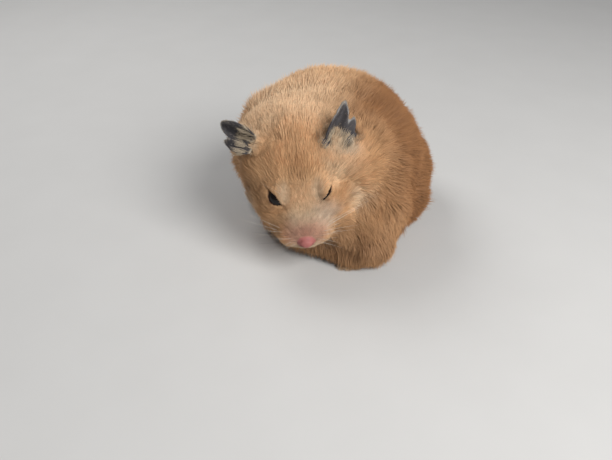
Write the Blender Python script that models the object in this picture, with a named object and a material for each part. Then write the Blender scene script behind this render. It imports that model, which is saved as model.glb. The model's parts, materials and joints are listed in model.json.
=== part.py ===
"""A Syrian hamster at life size, crouched and dozing, its head low and turned to its left.

The body stands on four feet along Y, head towards -Y and left side towards +X, with +Z up.
Every solid is the outer shape of the coat.  The flesh is modelled whole from rounded masses
that are fused and smoothed, then parted into head, neck, trunk, tail and legs by thin cuts.
"""
import math

import bmesh
import bpy
from mathutils import Euler, Matrix, Vector

MM = 0.001
SIDES = (("left", 1.0), ("right", -1.0))
GAP_MM = 0.3                        # clear space left at every cut
GAP = GAP_MM * MM

# Pose -----------------------------------------------------------------------------------------
HEAD_AT = Vector((-5.0, -34.0, 35.0))            # middle of the skull, mm
HEAD_PITCH, HEAD_YAW, HEAD_ROLL = 33, 24.5, -6    # nose down, to its left, crown to its right

# Flesh masses: middle (mm), half sizes (mm), turn about X, Y, Z (degrees) --------------------
TRUNK = {
    "rump": ((-1.5, 16, 25), (31.5, 22.5, 23.5), (0, 0, 0)),
    "back": ((-3.5, 2, 29), (33, 33.5, 27.4), (0, 0, 0)),
    "ribs": ((-2, -6, 30), (36, 25, 27), (0, 0, 0)),
    "shoulders": ((-3, -16, 31), (34, 19, 25), (0, 0, 0)),
    "chest": ((3, -27, 15), (23, 16, 13.5), (0, 0, 0)),
    "breast": ((14, -32, 11), (14, 11, 10.5), (0, 0, 0)),
    "belly": ((0, -2, 17), (31, 35, 14.5), (0, 0, 0)),
    "nape": ((-6, -25, 38), (26, 16, 17.5), (0, 0, 0)),
    "withers": ((-8.5, -9, 40), (26.5, 20, 15.5), (0, 0, 0)),
}
LEGS = {
    "upper_arm": ((23, -19, 16), (11, 14, 14), (0, 0, 0)),
    "forearm": ((20, -29, 8), (11.5, 12, 7.5), (0, 0, 0)),
    "haunch": ((24.5, 8, 17), (13, 19, 15.5), (0, 0, 0)),
    "knee": ((28, -3, 12.5), (10, 14, 12), (0, 0, 0)),
    "shank": ((24, 9, 8), (9, 14, 7), (0, 0, 0)),
}
RIGHT_ARM_SHIFT = Vector((6, 9, 0))             # the right arm is drawn back under the chest
TAIL = {
    "root": ((0, 35, 10), (6, 8, 5), (0, 0, 0)),
    "tip": ((2, 44, 6.5), (2.4, 6, 2.4), (-20, 0, -10)),
}
HEAD = {
    "skull": ((0, 3.5, -0.5), (17, 15, 13), (0, 0, 0)),
    "forehead": ((0, -6, -0.5), (12.5, 13.5, 8.5), (16, 0, 0)),
    "bridge": ((0, -13.5, -3.5), (8, 13, 6.5), (22, 0, 0)),
    "muzzle": ((0, -15, -7.5), (10, 11, 6.5), (8, 0, 0)),
    "chin": ((0, -13, -12), (7.5, 9, 4.5), (0, 0, 0)),
    "throat": ((0, 2, -9), (16, 15, 10), (0, 0, 0)),
    "left_ruff": ((14.5, -1.5, -9), (10, 13, 9.5), (0, 0, 0)),
}
HEAD_SIDES = {
    "temple": ((7.5, -6, -3), (10, 12, 9), (16, 0, 0)),
    "ear_base": ((9.4, 3, -2), (10.4, 12, 11), (0, 0, 0)),
    "cheek": ((9, -2, -7), (10, 13.5, 11), (0, 0, -8)),
    "jowl": ((6.8, -9.5, -8.5), (8.3, 11, 8), (6, 0, -22)),
    "pad": ((4.2, -18, -7.5), (6.3, 7, 5.6), (0, 0, 0)),
}
NOSE = {
    "tip": ((0, -24.6, -5.2), (2.4, 1.8, 1.9), (0, 0, 0)),
    "wings": ((0, -23.8, -5.6), (3.4, 1.8, 1.5), (0, 0, 0)),
}

# Eyes and ears, in the head's own frame (mm) -------------------------------------------------
EYE_AT = Vector((7.8, -9.6, 1.9))
EYE_RADIUS = 3.4
EAR_LENGTH = 14.8
EAR_WIDTH = 10.0
EAR_ROOT = 6.4                      # width where the ear leaves the head
EAR_THICKNESS = 1.1
EAR_HEM = 0.33                      # share of the length that the edge reaches beside the lobes
# the two lobes: middle across the leaf (-1 to 1), half width, rise above the hem
EAR_LOBES = ((-0.35, 0.86, 0.67), (0.62, 0.54, 0.42))
EAR_PLEAT, EAR_PLEAT_WIDTH = 1.5, 1.2            # depth (mm) and width (share) of a pleat
EAR_CURL, EAR_CUP = 1.8, 3.0                     # tip bent over, sides drawn back (mm)
# root, then how far it is laid back, tipped outward and turned about its own length (degrees)
EARS = {"left": (Vector((12.7, 5.2, 8.8)), (25, 31, -12)),
        "right": (Vector((13.5, 7.9, 8.6)), (30, 86, -56))}

# Feet, each in its own frame: heel at +Y, toes towards -Y, sole on the floor -----------------
FOREPAW = {"palm": ((0, 0.4, 2.0), (3.4, 3.6, 2.8), (0, 0, 0)),
           "wrist": ((0, 1.8, 4.5), (3.0, 3.0, 3.4), (0, 0, 0))}
FOREPAW_TOES = (4, 3.6)             # how many, and how far in front of the ankle (mm)
FOREPAWS_AT = {"left": Vector((15.5, -33.5, 0)), "right": Vector((12, -21, 0))}
FOREPAW_YAW = 6
HINDFOOT = {"heel": ((0, 6.5, 2.3), (2.8, 3.6, 2.6), (0, 0, 0)),
            "instep": ((0, 1.8, 2.4), (3.3, 6.0, 2.8), (0, 0, 0)),
            "ball": ((0, -2.6, 1.9), (4.1, 3.6, 2.4), (0, 0, 0))}
HINDFOOT_TOES = (5, 6.2)
HINDFOOT_AT, HINDFOOT_YAW = Vector((25, 3, 0)), 10
TOE_SIZES = (1.05, 2.9, 1.35)       # half width, half length, half height
TOE_HEIGHT, TOE_SPACING = 1.1, 1.75
TOE_FAN, TOE_SETBACK = 11.0, 0.35   # degrees between toes, mm that the outer ones stand back
TOE_SLOPE = 8
FOOT_TOP = 4.8                      # height of the cut between foot and leg, mm

# Cuts that part the flesh --------------------------------------------------------------------
NECK_FRONT = (Vector((0, -21, 52)), Vector((0, -41, 16)))    # nape and throat points, mm
NECK_BACK = (Vector((0, -14, 56)), Vector((0, -42, 14)))
LEG_ZONES = {
    "hindleg": ((28, 9, 14), (15, 22, 21)),
    "foreleg": ((23, -27, 10), (14, 15, 19)),
}
TAIL_ZONE = ((1.5, 44, 7), (7, 7.5, 8))

# Surface: voxel (mm), smoothing rounds, triangles ---------------------------------------------
BODY_SURFACE = (0.9, 70, 20000)
HEAD_SURFACE = (0.55, 40, 9000)
WHOLE_SURFACE = (0.6, 5, 3200)      # head and body made one
FOOT_SURFACE = (0.35, 4, 180)
NOSE_SURFACE = (0.3, 3, 140)
MASS_DETAIL, ZONE_DETAIL = 4, 2     # times that a ball is divided
EYE_SEGMENTS, EYE_RINGS = 14, 8
EAR_COLUMNS, EAR_ROWS = 10, 5
SHARP_ANGLE = 40

# Colour and roughness of each finish
FINISHES = {
    "golden": ((0.47, 0.25, 0.11), 0.85),
    "ear": ((0.07, 0.065, 0.07), 0.7),
    "eye": ((0.005, 0.004, 0.004), 0.08),
    "skin": ((0.52, 0.27, 0.24), 0.5),
}


def clear_scene():
    for thing in list(bpy.data.objects):
        bpy.data.objects.remove(thing, do_unlink=True)


def finish(name):
    colour, roughness = FINISHES[name]
    material = bpy.data.materials.new(name)
    material.use_nodes = True
    shader = material.node_tree.nodes["Principled BSDF"]
    shader.inputs["Base Color"].default_value = (*colour, 1.0)
    shader.inputs["Roughness"].default_value = roughness
    shader.inputs["Metallic"].default_value = 0.0
    return material


def turned(turns):
    return Euler([math.radians(angle) for angle in turns]).to_matrix().to_4x4()


def both_sides(masses):
    """The masses of the left side and their mirror images on the right."""
    sides = dict(masses)
    for name, ((x, y, z), sizes, (rx, ry, rz)) in masses.items():
        shift = RIGHT_ARM_SHIFT if name.endswith("arm") else Vector()
        sides[name + "_right"] = (Vector((-x, y, z)) + shift, sizes, (rx, -ry, -rz))
    return sides


def mesh_from(bm, name):
    mesh = bpy.data.meshes.new(name)
    bm.to_mesh(mesh)
    bm.free()
    return mesh


def evaluated(mesh, *modifiers):
    """The mesh after a stack of (type, settings) modifiers."""
    carrier = bpy.data.objects.new("carrier", mesh)
    bpy.context.collection.objects.link(carrier)
    for kind, settings in modifiers:
        modifier = carrier.modifiers.new(kind.title(), kind)
        for key, value in settings.items():
            setattr(modifier, key, value)
    depsgraph = bpy.context.evaluated_depsgraph_get()
    result = bpy.data.meshes.new_from_object(carrier.evaluated_get(depsgraph))
    bpy.data.objects.remove(carrier)
    return result


def fused(name, masses, place, surface):
    """One closed skin round overlapping ellipsoids."""
    bm = bmesh.new()
    for middle, sizes, turns in masses.values():
        shape = Matrix.LocRotScale(Vector(middle), turned(turns).to_quaternion(), Vector(sizes))
        bmesh.ops.create_icosphere(bm, subdivisions=MASS_DETAIL, radius=1.0, matrix=place @ shape)
    return smoothed(mesh_from(bm, name), surface)


def smoothed(mesh, surface):
    """Overlapping solids made one, smoothed and thinned."""
    voxel, rounds, triangles = surface
    smooth = evaluated(
        mesh,
        ("REMESH", {"mode": "VOXEL", "voxel_size": voxel * MM}),
        ("SMOOTH", {"factor": 0.5, "iterations": rounds}),
    )
    return thinned(smooth, triangles)


def thinned(mesh, triangles):
    whole = evaluated(mesh, ("TRIANGULATE", {}))
    share = min(1.0, triangles / len(whole.polygons))
    return evaluated(whole, ("DECIMATE", {"ratio": share}))


def joined(first, second):
    bm = bmesh.new()
    bm.from_mesh(first)
    bm.from_mesh(second)
    return mesh_from(bm, "joined")


def cut(mesh, cutter, operation):
    """Boolean of two meshes; the largest piece is kept."""
    tool = bpy.data.objects.new("cutter", cutter)
    bpy.context.collection.objects.link(tool)
    result = evaluated(mesh, ("BOOLEAN", {"operation": operation, "object": tool, "solver": "EXACT"}))
    bpy.data.objects.remove(tool)
    return largest_piece(result)


def largest_piece(mesh):
    bm = bmesh.new()
    bm.from_mesh(mesh)
    unseen = set(bm.verts)
    pieces = []
    while unseen:
        stack = [unseen.pop()]
        piece = [stack[0]]
        while stack:
            for edge in stack.pop().link_edges:
                for vert in edge.verts:
                    if vert in unseen:
                        unseen.remove(vert)
                        stack.append(vert)
                        piece.append(vert)
        pieces.append(piece)
    pieces.sort(key=len)
    for piece in pieces[:-1]:
        bmesh.ops.delete(bm, geom=piece, context="VERTS")
    return mesh_from(bm, mesh.name)


def sliced(mesh, point, normal):
    """The part of a mesh on the side that normal points to, closed with a flat face."""
    bm = bmesh.new()
    bm.from_mesh(mesh)
    geometry = bm.verts[:] + bm.edges[:] + bm.faces[:]
    cut_through = bmesh.ops.bisect_plane(bm, geom=geometry, plane_co=point, plane_no=normal,
                                         clear_inner=True, dist=1e-7)
    rim = [item for item in cut_through["geom_cut"] if isinstance(item, bmesh.types.BMEdge)]
    bmesh.ops.holes_fill(bm, edges=rim, sides=0)
    bmesh.ops.triangulate(bm, faces=[face for face in bm.faces if len(face.verts) > 3])
    return mesh_from(bm, mesh.name)


def grown(mesh, distance):
    bm = bmesh.new()
    bm.from_mesh(mesh)
    bm.normal_update()
    shifts = [(vert, vert.normal * distance) for vert in bm.verts]
    for vert, shift in shifts:
        vert.co += shift
    return mesh_from(bm, mesh.name + "_grown")


def zone(middle, sizes, extra=0.0):
    bm = bmesh.new()
    shape = Matrix.LocRotScale(Vector(middle) * MM, None, (Vector(sizes) + Vector((extra,) * 3)) * MM)
    bmesh.ops.create_icosphere(bm, subdivisions=ZONE_DETAIL, radius=1.0, matrix=shape)
    return mesh_from(bm, "zone")


def limb_middle(limb, side):
    x, y, z = LEG_ZONES[limb][0]
    shift = RIGHT_ARM_SHIFT if side < 0 and limb == "foreleg" else Vector()
    return Vector((side * x, y, z)) + shift


def ear_height(across):
    """Height of the ear's edge where the leaf is crossed, from -1 at the rear to 1."""
    lobes = [rise * max(0.0, 1.0 - ((across - middle) / half) ** 2) for middle, half, rise in EAR_LOBES]
    return EAR_LENGTH * (EAR_HEM + max(lobes))


def ear_sheet():
    """A leaf with a pointed rear lobe and a round front lobe, pleated down its length."""
    bm = bmesh.new()
    grid = []
    rear_lobe = EAR_LOBES[0][0]
    for column in range(EAR_COLUMNS + 1):
        across = 2.0 * column / EAR_COLUMNS - 1.0
        height = ear_height(across)
        line = []
        for row in range(EAR_ROWS + 1):
            along = row / EAR_ROWS
            spread = EAR_ROOT + (EAR_WIDTH - EAR_ROOT) * math.sin(0.5 * math.pi * min(1.0, 1.5 * along))
            pleat = EAR_PLEAT * along * math.cos(2.0 * math.pi * (across - rear_lobe) / EAR_PLEAT_WIDTH)
            cup = EAR_CURL * along * along - EAR_CUP * across * across
            line.append(bm.verts.new((0.5 * spread * across, cup + pleat, height * along)))
        grid.append(line)
    for left, right in zip(grid, grid[1:]):
        for row in range(EAR_ROWS):
            bm.faces.new((left[row], right[row], right[row + 1], left[row + 1]))
    return evaluated(mesh_from(bm, "ear"), ("SOLIDIFY", {"thickness": EAR_THICKNESS, "offset": 0.0}))


def paw_masses(masses, toes):
    """A foot's masses with its toes fanned out in front."""
    count, reach = toes
    foot = dict(masses)
    for toe in range(count):
        side = toe - 0.5 * (count - 1)
        middle = (TOE_SPACING * side, TOE_SETBACK * side * side - reach, TOE_HEIGHT)
        foot["toe_%d" % toe] = (middle, TOE_SIZES, (TOE_SLOPE, 0, TOE_FAN * side))
    return foot


def add_node(name, mesh, material, parent):
    mesh.name = name
    mesh.materials.clear()
    mesh.materials.append(material)
    middle = sum((vert.co for vert in mesh.vertices), Vector()) / len(mesh.vertices)
    mesh.transform(Matrix.Translation(-middle))
    mesh.shade_smooth()
    mesh.set_sharp_from_angle(angle=math.radians(SHARP_ANGLE))
    node = bpy.data.objects.new(name, mesh)
    bpy.context.collection.objects.link(node)
    node.location = middle
    node.parent = parent
    return node


def side_place(at, yaw, side):
    """Where a left or right foot stands; the right one is mirrored."""
    mirror = Matrix.Diagonal((side, 1.0, 1.0, 1.0))
    place = Matrix.Translation(at * MM) @ turned((0, 0, yaw)) @ Matrix.Scale(MM, 4)
    return mirror @ place


def flipped(mesh):
    """Faces turned back outwards after a mirror image."""
    bm = bmesh.new()
    bm.from_mesh(mesh)
    bmesh.ops.recalc_face_normals(bm, faces=bm.faces[:])
    return mesh_from(bm, mesh.name)


def head_placement():
    turns = turned((0, 0, HEAD_YAW)) @ turned((HEAD_PITCH, 0, 0)) @ turned((0, HEAD_ROLL, 0))
    return Matrix.Translation(HEAD_AT * MM) @ turns @ Matrix.Scale(MM, 4)


def whole_flesh(place):
    """Body, legs, tail and head as one smooth skin."""
    masses = {**TRUNK, **both_sides(LEGS), **TAIL}
    body = fused("body", masses, Matrix.Scale(MM, 4), BODY_SURFACE)
    head = fused("head", {**HEAD, **both_sides(HEAD_SIDES)}, place, HEAD_SURFACE)
    return smoothed(joined(body, head), WHOLE_SURFACE)


def standing_feet():
    """The four feet, flat under the sole and flat at the cut above."""
    feet = {}
    for side_name, side in SIDES:
        paw_place = side_place(FOREPAWS_AT[side_name], FOREPAW_YAW, side)
        foot_place = side_place(HINDFOOT_AT, HINDFOOT_YAW, side)
        paw = fused("forepaw", paw_masses(FOREPAW, FOREPAW_TOES), paw_place, FOOT_SURFACE)
        foot = fused("hindfoot", paw_masses(HINDFOOT, HINDFOOT_TOES), foot_place, FOOT_SURFACE)
        feet["forepaw_" + side_name] = paw
        feet["hindfoot_" + side_name] = foot
    for name, foot in feet.items():
        foot = sliced(flipped(foot), Vector((0, 0, 0)), Vector((0, 0, 1)))
        feet[name] = sliced(foot, Vector((0, 0, FOOT_TOP * MM)), Vector((0, 0, -1)))
    return feet


def neck_plane(nape, throat):
    """Middle of a neck cut and its direction, pointing back along the body."""
    direction = Vector((1, 0, 0)).cross(throat - nape).normalized()
    return 0.5 * (nape + throat) * MM, direction


def head_neck_trunk(whole):
    front_at, front = neck_plane(*NECK_FRONT)
    back_at, back = neck_plane(*NECK_BACK)
    head = sliced(whole, front_at - 0.5 * GAP * front, -front)
    neck = sliced(whole, front_at + 0.5 * GAP * front, front)
    neck = sliced(neck, back_at - 0.5 * GAP * back, -back)
    trunk = sliced(whole, back_at + 0.5 * GAP * back, back)
    return head, neck, trunk


def limbs_from(trunk, feet):
    """Legs and tail parted from the trunk, then room made for the feet."""
    limbs = {"tail": cut(trunk, zone(*TAIL_ZONE), "INTERSECT")}
    rest = cut(trunk, zone(*TAIL_ZONE, GAP_MM), "DIFFERENCE")
    for side_name, side in SIDES:
        for limb, (_, sizes) in LEG_ZONES.items():
            middle = limb_middle(limb, side)
            limbs["%s_%s" % (limb, side_name)] = cut(rest, zone(middle, sizes), "INTERSECT")
            rest = cut(rest, zone(middle, sizes, GAP_MM), "DIFFERENCE")
    for foot_name, foot in feet.items():
        room = grown(foot, GAP)
        leg_name = foot_name.replace("paw", "leg").replace("foot", "leg")
        limbs[leg_name] = cut(limbs[leg_name], room.copy(), "DIFFERENCE")
        rest = cut(rest, room, "DIFFERENCE")
    return rest, limbs


def eyeball(place, side):
    bm = bmesh.new()
    middle = place @ Vector((side * EYE_AT.x, EYE_AT.y, EYE_AT.z))
    bmesh.ops.create_uvsphere(bm, u_segments=EYE_SEGMENTS, v_segments=EYE_RINGS,
                              radius=EYE_RADIUS * MM, matrix=Matrix.Translation(middle))
    return mesh_from(bm, "eye")


def standing_ear(place, side_name, side):
    root, (back, outward, twist) = EARS[side_name]
    seat = Matrix.Translation(Vector((side * root.x, root.y, root.z)))
    turns = turned((0, side * outward, 0)) @ turned((-back, 0, 0)) @ turned((0, 0, side * twist))
    ear = ear_sheet()
    ear.transform(place @ seat @ turns @ Matrix.Diagonal((side, 1, 1, 1)))
    return flipped(ear)


def centred(meshes):
    """Move everything so the middle of the box round it stands over the origin, soles at zero."""
    corners = [vert.co for mesh in meshes for vert in mesh.vertices]
    low = Vector([min(corner[axis] for corner in corners) for axis in range(3)])
    high = Vector([max(corner[axis] for corner in corners) for axis in range(3)])
    shift = Matrix.Translation((-0.5 * (low.x + high.x), -0.5 * (low.y + high.y), -low.z))
    for mesh in meshes:
        mesh.transform(shift)


def build():
    clear_scene()
    hamster = bpy.data.objects.new("hamster", None)
    bpy.context.collection.objects.link(hamster)
    place = head_placement()
    head, neck, trunk = head_neck_trunk(whole_flesh(place))
    feet = standing_feet()
    trunk, limbs = limbs_from(trunk, feet)
    nose = fused("nose", NOSE, place, NOSE_SURFACE)
    head = cut(head, grown(nose, GAP), "DIFFERENCE")
    eyes = {"eye_" + side_name: eyeball(place, side) for side_name, side in SIDES}
    for eye in eyes.values():
        head = cut(head, grown(eye, GAP), "DIFFERENCE")
    ears = {}
    for side_name, side in SIDES:
        ear = standing_ear(place, side_name, side)
        ears["ear_" + side_name] = cut(ear, grown(head, GAP), "DIFFERENCE")

    kinds = [
        (finish("golden"), {"head": head, "neck": neck, "trunk": trunk, **limbs}),
        (finish("ear"), ears),
        (finish("eye"), eyes),
        (finish("skin"), {"nose": nose, **feet}),
    ]
    centred([mesh for _, nodes in kinds for mesh in nodes.values()])
    for material, nodes in kinds:
        for name, mesh in nodes.items():
            add_node(name, mesh, material, hamster)


build()
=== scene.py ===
"""Looks of the still Syrian hamster: one skin over the flesh, eyes, ears, claws, whiskers, coat.

The skin is fused from copies of the flesh solids, drawn in by the depth of the coat and then
modelled: lids, nostrils, mouth line, ear pleats.  Each point of the skin knows how long the hair
is there, which way it lies and what colour it has.  A Geometry Nodes tree plants thin tufts by
those values, plot by plot, and every plot becomes one plain mesh.
"""
import json
import math

import bmesh
import bpy
import numpy as np
from mathutils import Euler, Matrix, Vector, noise
from mathutils.kdtree import KDTree

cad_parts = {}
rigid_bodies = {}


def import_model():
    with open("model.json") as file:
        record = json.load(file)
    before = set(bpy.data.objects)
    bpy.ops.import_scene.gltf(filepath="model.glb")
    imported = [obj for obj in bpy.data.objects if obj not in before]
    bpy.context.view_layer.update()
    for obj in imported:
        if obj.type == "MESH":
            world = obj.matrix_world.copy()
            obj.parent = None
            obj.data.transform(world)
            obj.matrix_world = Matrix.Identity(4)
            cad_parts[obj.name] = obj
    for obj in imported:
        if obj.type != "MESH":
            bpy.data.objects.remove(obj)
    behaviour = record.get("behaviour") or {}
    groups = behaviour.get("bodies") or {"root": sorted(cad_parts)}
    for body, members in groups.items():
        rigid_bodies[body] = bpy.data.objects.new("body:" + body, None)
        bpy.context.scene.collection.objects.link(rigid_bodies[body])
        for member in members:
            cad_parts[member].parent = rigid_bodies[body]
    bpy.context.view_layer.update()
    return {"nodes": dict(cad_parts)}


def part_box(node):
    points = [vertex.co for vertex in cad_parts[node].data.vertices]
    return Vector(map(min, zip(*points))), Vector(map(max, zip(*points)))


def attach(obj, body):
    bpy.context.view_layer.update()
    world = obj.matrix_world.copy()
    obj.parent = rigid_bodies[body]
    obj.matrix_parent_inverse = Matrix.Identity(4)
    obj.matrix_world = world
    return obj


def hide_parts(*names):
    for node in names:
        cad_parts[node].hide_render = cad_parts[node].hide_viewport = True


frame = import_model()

MM = 0.001

# Camera ------------------------
VIEW_AZIMUTH, VIEW_ELEVATION = 17.0, 37.0       # degrees
VIEW_DISTANCE = 205 * MM
VIEW_AIM = Vector((2.6, -47.0, 22.0)) * MM
LENS, SENSOR = 35.3, 36.0                       # millimetres

# Head, in its own frame: x to the animal's left, y backwards, z to the crown (mm) --------------
EYE_AT = Vector((7.8, -9.6, 1.9))
NOSE_AT = Vector((0.0, -24.2, -5.3))
EYE_RADIUS = 3.4
SLIT_AXIS = Vector((0.54, 0.83, 0.16))          # along the left lids, towards the back corner
LID_THICK = 0.32
# the middle of the gap between the lids as seen from the eye's centre, mirrored on the right;
# half its length, then how far the upper and the lower lid stand from its axis (degrees)
LIDS = {"left": (Vector((0.32, -0.66, 0.72)), 60, 7, 12),
        "right": (Vector((0.42, -0.54, 0.73)), 68, 20, 32)}

NOSTRIL_AT, NOSTRIL_DEPTH = (1.55, -25.9, -5.2), 1.0
MOUTH_HEIGHT, MOUTH_DEPTH, LINE_WIDTH = -10.2, 0.65, 0.26
BARE_NOSE = (0, -25.2, -4.9), (3.3, 2.9, 2.8)   # middle and half sizes
RUFF_AT, RUFF_SIZES, RUFF_LENGTH = (17.0, -8.5, -3.5), (6, 6, 4), 2.2

EAR_LENGTH, EAR_WIDTH, EAR_ROOT, EAR_THICK = 14.8, 10.0, 6.4, 0.8
EARS = {"left": (Vector((12.7, 5.2, 8.8)), (25, 31, -12)),
        "right": (Vector((13.5, 7.9, 8.6)), (30, 86, -56))}
SIDES = (("left", 1.0), ("right", -1.0))

KEY_LIGHT = (0.38, -0.24, 0.40), 0.36, 3.3      # place and size in metres, power in watts
BACK_LIGHT = (-0.31, 0.16, 0.44), 0.30, 1.2
LIT_SPOT = (0.0, -0.02, 0.02)
STUDIO_TINT, STUDIO_STRENGTH = (0.92, 0.94, 1.0, 1.0), 0.15

FLESH = ("head", "neck", "trunk", "tail", "nose",
         "foreleg_left", "foreleg_right", "hindleg_left", "hindleg_right",
         "forepaw_left", "forepaw_right", "hindfoot_left", "hindfoot_right")
EAR_NODES = ("ear_left", "ear_right")
EYE_NODES = ("eye_left", "eye_right")

VOXEL = 0.38 * MM
SKIN_TRIANGLES = 112000                         # before lids, nose and mouth are made finer
COAT_TRIANGLES = 150000      # in each plot
BLADES, BLADE_TRIANGLES = 3, 3                  # in each tuft, and in each blade
TUFT_KINDS = 5
TUFT_PATCH = 0.003                              # a tuft's share of the skin's map
FLOOR_GAP = 0.25 * MM                           # the lowest that a hair may hang
BLADE_WIDTH = {"face": 0.20, "feet": 0.20, "ears": 0.13}      # millimetres; other plots below
BLADE_RISE = {"face": 0.24, "feet": 0.24, "ears": 0.24}       # height as a share of length
OTHER_WIDTH, OTHER_RISE = 0.28, 0.27

# Rounds of evening over the skin's edges
SHAPE_ROUNDS, FINE_ROUNDS = 24, 3               # furred parts; ears, nose and feet
DEPTH_ROUNDS, GROWTH_ROUNDS, LIE_ROUNDS = 160, 60, 12
FINER = ((6.5, 6.5), (5.0, 5.0))                # reach (mm) of each split, at the eyes and the lips

# How far the skin lies inside the tips of the coat (mm)
COAT_DEPTH = {"head": 1.9, "neck": 2.8, "trunk": 3.5, "tail": 0.7, "nose": 0.0,
              "foreleg": 2.0, "hindleg": 2.6, "forepaw": 0.1, "hindfoot": 0.1, "ear": 0.0}
# Length of the hair (mm) and tufts to the square millimetre
HAIR_LENGTH = {"head": 4.8, "neck": 7.0, "trunk": 8.0, "tail": 1.8, "nose": 0.0,
               "foreleg": 5.0, "hindleg": 7.0, "forepaw": 1.1, "hindfoot": 1.1, "ear": 1.2}
HAIR_CROWD = {"head": 15.0, "neck": 11.0, "trunk": 9.0, "tail": 14.0, "nose": 0.0,
              "foreleg": 11.0, "hindleg": 9.0, "forepaw": 14.0, "hindfoot": 14.0, "ear": 5.0}


# Small helpers ------------------------

def linear(red, green, blue):
    """A display colour (0 to 255) as a linear one."""
    return np.array([(channel / 255.0) ** 2.2 for channel in (red, green, blue)])


def linked(name, data):
    """A new object in the scene that shows the data."""
    thing = bpy.data.objects.new(name, data)
    bpy.context.scene.collection.objects.link(thing)
    return thing


def mesh_from(bm, name):
    mesh = bpy.data.meshes.new(name)
    bm.to_mesh(mesh)
    bm.free()
    return mesh


def settled(carrier):
    """The mesh that a carrier's modifiers make; the carrier is removed."""
    depsgraph = bpy.context.evaluated_depsgraph_get()
    mesh = bpy.data.meshes.new_from_object(carrier.evaluated_get(depsgraph))
    bpy.data.objects.remove(carrier)
    return mesh


def evaluated(mesh, *modifiers):
    """The mesh after a stack of (type, settings) modifiers."""
    carrier = linked("carrier", mesh)
    for kind, settings in modifiers:
        modifier = carrier.modifiers.new(kind.title(), kind)
        for key, value in settings.items():
            setattr(modifier, key, value)
    return settled(carrier)


def read(items, field, width, kind=np.float32):
    """A field of all the items of a mesh, one row to an item."""
    values = np.empty(len(items) * width, kind)
    items.foreach_get(field, values)
    return values.reshape(-1, width) if width > 1 else values


def points_of(mesh):
    return read(mesh.vertices, "co", 3).astype(float)


def set_points(mesh, points):
    mesh.vertices.foreach_set("co", points.astype(np.float32).ravel())
    mesh.update()


def normals_of(mesh):
    return read(mesh.vertex_normals, "vector", 3).astype(float)


def edges_of(mesh):
    return read(mesh.edges, "vertices", 2, np.int32)


def evened(values, edges, rounds, share=0.5):
    """Values at points, drawn towards the mean of their neighbours."""
    values = np.array(values, float)
    flat = values.reshape(len(values), -1)
    start, end = edges[:, 0], edges[:, 1]
    count = np.bincount(start, minlength=len(flat)) + np.bincount(end, minlength=len(flat))
    count = np.maximum(count, 1)
    for _ in range(rounds):
        for column in range(flat.shape[1]):
            line = flat[:, column]
            total = np.bincount(start, line[end], len(flat))
            total = total + np.bincount(end, line[start], len(flat))
            flat[:, column] = line + share * (total / count - line)
    return flat.reshape(values.shape)


def unit(vectors):
    return vectors / np.maximum(np.linalg.norm(vectors, axis=-1, keepdims=True), 1e-9)


def ramp(values, low, high):
    """0 below low, 1 above high, smooth between; low may be the larger."""
    share = np.clip((values - low) / (high - low), 0.0, 1.0)
    return share * share * (3.0 - 2.0 * share)


def mixed(first, second, share):
    return first + (second - first) * share[:, None]


def patch(points, middle, sizes, soft=0.5):
    """1 inside an ellipsoid, fading to 0 outside it."""
    return ramp(within(points, middle, sizes), 1.0 + soft, 1.0 - soft)


def mottle(points, size, seed):
    """Smooth noise from -1 to 1 with features about size across."""
    shift = Vector((17.3 * seed, 5.1 * seed, -9.7 * seed))
    scaled = (points / size).tolist()
    return np.array([noise.noise(Vector(point) + shift) for point in scaled])


# Head frame ------------------------

def middle_of(node):
    low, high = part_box(node)
    return 0.5 * (low + high)


def head_frame():
    """Matrix from the head's own millimetres to the row's metres, found from eyes and nose."""
    left, right, nose = middle_of("eye_left"), middle_of("eye_right"), middle_of("nose")
    across = (left - right).normalized()
    between = 0.5 * (left + right)
    back = between - nose
    back = (back - across * back.dot(across)).normalized()
    up = across.cross(back)
    drop = math.atan2(EYE_AT.z - NOSE_AT.z, EYE_AT.y - NOSE_AT.y)
    y_axis = math.cos(drop) * back - math.sin(drop) * up
    z_axis = math.sin(drop) * back + math.cos(drop) * up
    turn = Matrix((across, y_axis, z_axis)).transposed()
    origin = between - turn @ Vector((0.0, EYE_AT.y, EYE_AT.z)) * MM
    return Matrix.Translation(origin) @ turn.to_4x4() @ Matrix.Scale(MM, 4)


HEAD = head_frame()
HEAD_INVERSE = HEAD.inverted()
HEAD_TURN = np.array(HEAD.to_3x3()) / MM


def in_head(points):
    """Row-frame points as head millimetres."""
    matrix = np.array(HEAD_INVERSE)
    return points @ matrix[:3, :3].T + matrix[:3, 3]


def from_head(vectors):
    """Directions in the head's frame as row-frame directions."""
    return vectors @ HEAD_TURN.T


def eye_middle(side):
    return np.array((side * EYE_AT.x, EYE_AT.y, EYE_AT.z))


def on_ear(local, kinds, side):
    """True at the points of one ear."""
    return np.isin(kinds, ("ear",)) & (np.sign(local[:, 0]) == side)


def distance(points, spot):
    return np.linalg.norm(points - np.array(spot), axis=1)


def within(points, middle, sizes):
    """Distance from a middle, counted in half sizes."""
    return np.linalg.norm((points - np.array(middle)) / np.array(sizes), axis=1)


# Skin ------------------------

def swollen(bm, node, distance):
    """A merged copy of a CAD node, grown so that it meets its neighbours across the thin cuts."""
    part = bmesh.new()
    part.from_mesh(frame["nodes"][node].data)
    bmesh.ops.remove_doubles(part, verts=part.verts, dist=1e-6)
    part.normal_update()
    shifts = [(vert, vert.normal * distance) for vert in part.verts]
    for vert, shift in shifts:
        vert.co += shift
    mesh = mesh_from(part, node)
    bm.from_mesh(mesh)
    bpy.data.meshes.remove(mesh)


def turned(turns):
    return Euler([math.radians(angle) for angle in turns]).to_matrix().to_4x4()


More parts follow.
